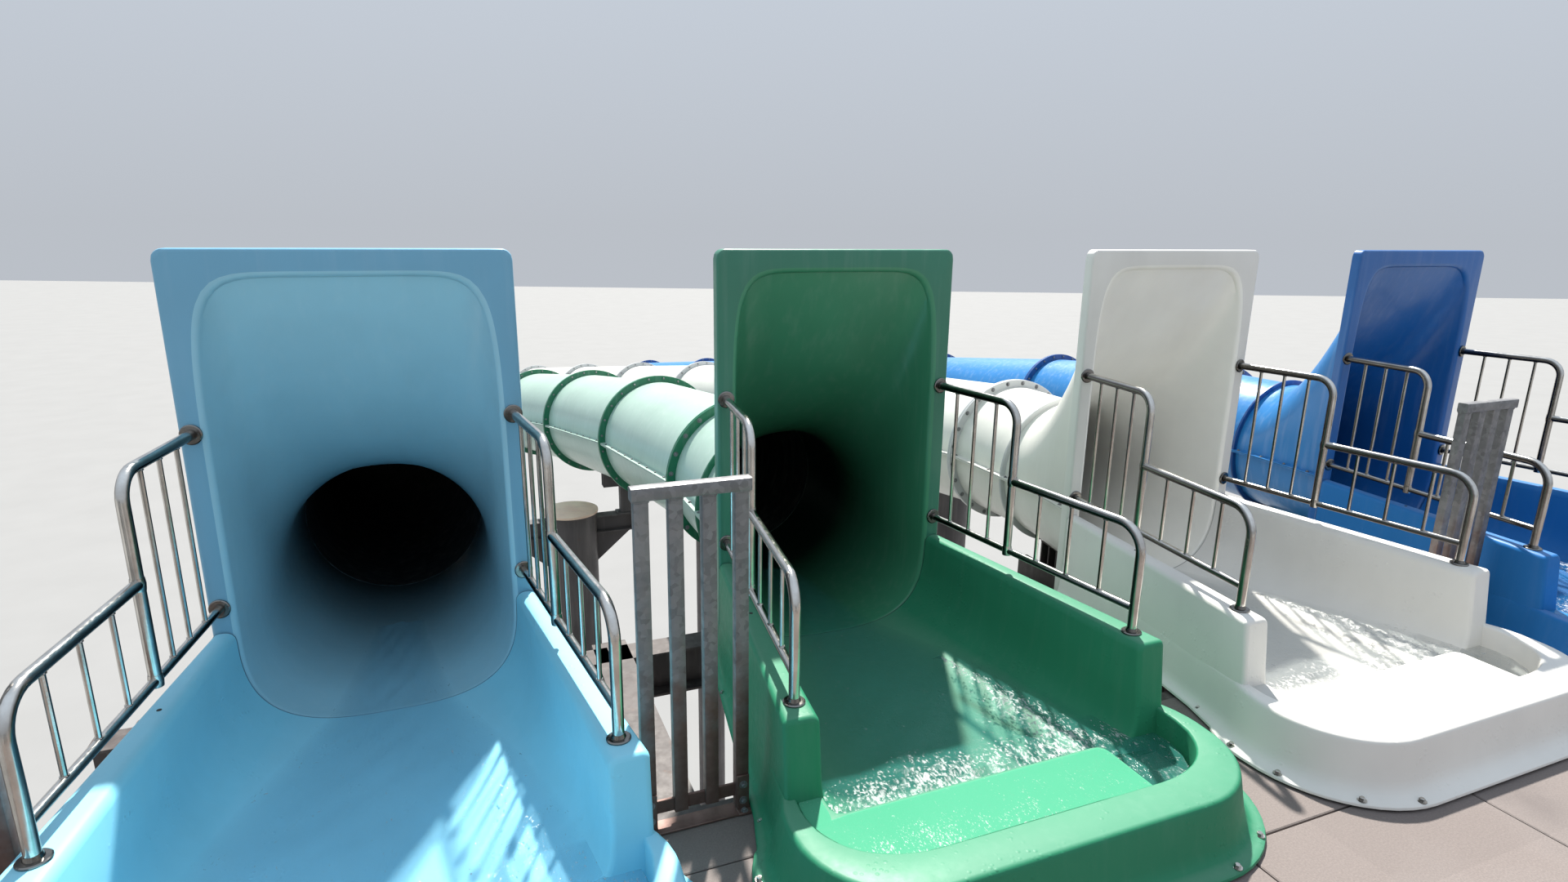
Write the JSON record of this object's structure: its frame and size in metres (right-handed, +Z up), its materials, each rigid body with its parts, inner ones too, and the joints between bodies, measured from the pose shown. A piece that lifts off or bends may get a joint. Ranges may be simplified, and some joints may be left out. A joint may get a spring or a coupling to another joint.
{
  "type": "water slide tower",
  "caption": "Steel tower with a paved deck, a stair and a row of enclosed slide starts, whose flumes curve down and away on round columns.",
  "frame": {"origin": "on the ground, under the middle of the tower's whole footprint", "axes": "+Z up, +Y the way riders leave, +X along the row of starts from the light blue one to the dark blue one"},
  "size_m": [11.4363, 20.6404, 14.15],
  "materials": {
    "paving": "matt",
    "dark_steel": "weathered paint",
    "grey_steel": "weathered paint",
    "cap_plate": "matt",
    "galvanised_steel": "dull zinc with rust",
    "stainless_steel": "polished, a little worn",
    "gelcoat_light_blue": "glossy",
    "gelcoat_green": "glossy",
    "gelcoat_white": "glossy",
    "gelcoat_dark_blue": "glossy",
    "gelcoat_pale_blue": "satin",
    "gelcoat_mint": "satin",
    "gelcoat_mid_blue": "satin",
    "water": "clear with foam"
  },
  "bodies": {
    "root": {"deck_slab": "paving", "deck_frame": "dark_steel", "front_frame": "dark_steel", "rear_frame": "dark_steel", "level_ties_1": "dark_steel", "level_ties_2": "dark_steel", "start_tub_light_blue": "gelcoat_light_blue", "funnel_light_blue": "gelcoat_light_blue", "flume_light_blue_1": "gelcoat_pale_blue", "flume_light_blue_2": "gelcoat_pale_blue", "flume_light_blue_3": "gelcoat_pale_blue", "rail_left_light_blue": "stainless_steel", "rail_right_light_blue": "stainless_steel", "start_tub_green": "gelcoat_green", "funnel_green": "gelcoat_green", "flume_green_1": "gelcoat_mint", "flume_green_2": "gelcoat_mint", "flume_green_3": "gelcoat_mint", "rail_left_green": "stainless_steel", "rail_right_green": "stainless_steel", "start_tub_white": "gelcoat_white", "funnel_white": "gelcoat_white", "flume_white_1": "gelcoat_white", "flume_white_2": "gelcoat_white", "flume_white_3": "gelcoat_white", "rail_left_white": "stainless_steel", "rail_right_white": "stainless_steel", "start_tub_dark_blue": "gelcoat_dark_blue", "funnel_dark_blue": "gelcoat_dark_blue", "flume_dark_blue_1": "gelcoat_mid_blue", "flume_dark_blue_2": "gelcoat_mid_blue", "flume_dark_blue_3": "gelcoat_mid_blue", "rail_left_dark_blue": "stainless_steel", "rail_right_dark_blue": "stainless_steel", "fence_panel_1": "galvanised_steel", "fence_panel_2": "galvanised_steel", "fence_end_left": "galvanised_steel", "fence_end_right": "galvanised_steel", "guard_left": "galvanised_steel", "guard_right": "galvanised_steel", "guard_rear_short": "galvanised_steel", "guard_rear_long": "galvanised_steel", "pylon_1": "grey_steel", "pylon_2": "grey_steel", "pylon_3": "grey_steel", "pylon_4": "grey_steel", "stair_flight_1": "dark_steel", "stair_flight_2": "dark_steel", "stair_flight_3": "dark_steel", "stair_flight_4": "dark_steel", "stair_frame_right": "dark_steel", "stair_frame_left": "dark_steel"}
  },
  "joints": []
}
